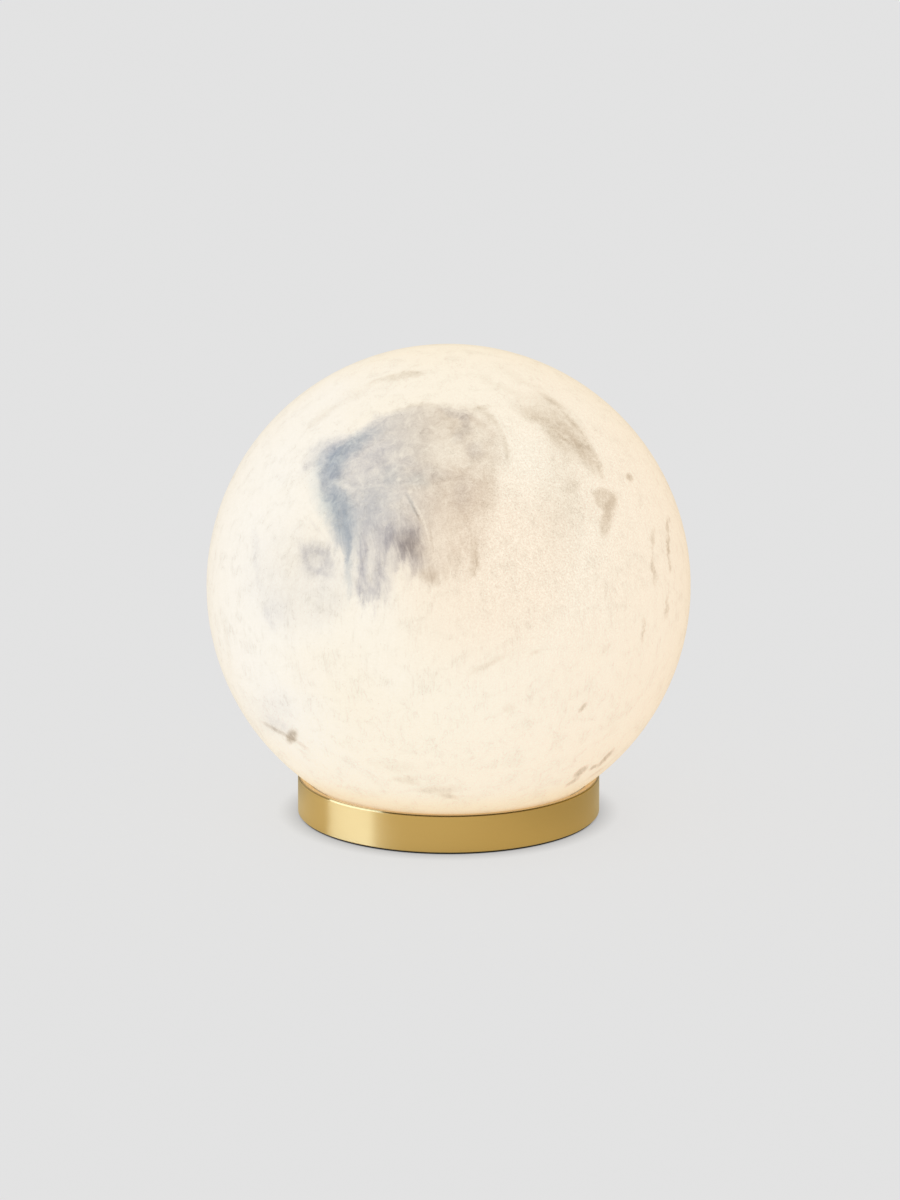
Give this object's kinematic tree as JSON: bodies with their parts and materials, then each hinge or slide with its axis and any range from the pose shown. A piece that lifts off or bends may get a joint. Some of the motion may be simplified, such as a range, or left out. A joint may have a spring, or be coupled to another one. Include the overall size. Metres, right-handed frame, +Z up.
{
  "type": "rechargeable table lamp",
  "caption": "Rechargeable table lamp: a lit hollow alabaster globe seated in a low polished brass ring, with a push button and charging inlet at the back.",
  "frame": {"origin": "centre of the foot's underside, where the lamp stands on a table", "axes": "+Z up, +Y towards the back with the charging inlet, +X to the right seen from the front"},
  "size_m": [0.16, 0.16, 0.1577],
  "materials": {
    "alabaster": "satin",
    "polished_brass": "polished",
    "collar_aluminium": "satin",
    "clear_silicone": "satin",
    "black_silicone": "matte",
    "zinc_steel": "satin",
    "spring_steel": "satin",
    "dark_screw_steel": "satin",
    "white_moulding": "matte",
    "black_moulding": "matte",
    "insulating_sheet": "matte",
    "cell_wrap": "gloss",
    "nickel": "satin",
    "grey_foam": "matte",
    "green_board": "satin",
    "white_board": "satin",
    "black_chip": "matte",
    "capacitor_can": "satin",
    "socket_cream": "satin",
    "wire_red": "satin",
    "wire_black": "satin",
    "inlet_steel": "satin",
    "led_package": "satin",
    "indicator_led": "gloss",
    "clear_pipe": "gloss",
    "opal_diffuser": "satin",
    "spreader_aluminium": "satin"
  },
  "bodies": {
    "base": {"brass_ring": "polished_brass", "base_plate": "zinc_steel", "foot_pad": "black_silicone", "base_screws": "dark_screw_steel", "base_insulator": "insulating_sheet", "chassis": "white_moulding", "seat_gasket": "clear_silicone", "globe_clips": "spring_steel", "battery_tray": "black_moulding", "battery_cell_front": "cell_wrap", "battery_cell_rear": "cell_wrap", "cell_links": "nickel", "battery_pad": "grey_foam", "protection_board": "green_board", "battery_lead_red": "wire_red", "battery_lead_black": "wire_black", "led_lead_red": "wire_red", "led_lead_black": "wire_black", "wire_sockets": "socket_cream", "wire_plugs": "socket_cream", "main_board": "green_board", "board_screws": "zinc_steel", "power_inductor": "black_chip", "capacitors": "capacitor_can", "controller_chips": "black_chip", "usb_c_shell": "inlet_steel", "usb_c_tongue": "black_moulding", "port_bezel": "black_moulding", "charge_led": "indicator_led", "charge_light_pipe": "clear_pipe", "switch_body": "black_moulding", "heat_spreader": "spreader_aluminium", "led_board": "white_board", "led_chips": "led_package", "led_board_screws": "zinc_steel", "diffuser_dome": "opal_diffuser"},
    "globe": {"alabaster_globe": "alabaster", "globe_collar": "collar_aluminium"},
    "button": {"power_button": "polished_brass", "switch_plunger": "black_moulding"}
  },
  "joints": [
    {"name": "globe_lift", "type": "slide", "parent": "base", "child": "globe", "axis": [0, 0, 1], "range_m": [0, 0.06], "deforming": ["globe_clips"]},
    {"name": "power_button_press", "type": "slide", "parent": "base", "child": "button", "axis": [-0.4067, -0.9135, 0], "range_m": [0, 0.0008], "stiffness_N_per_m": 2500}
  ]
}
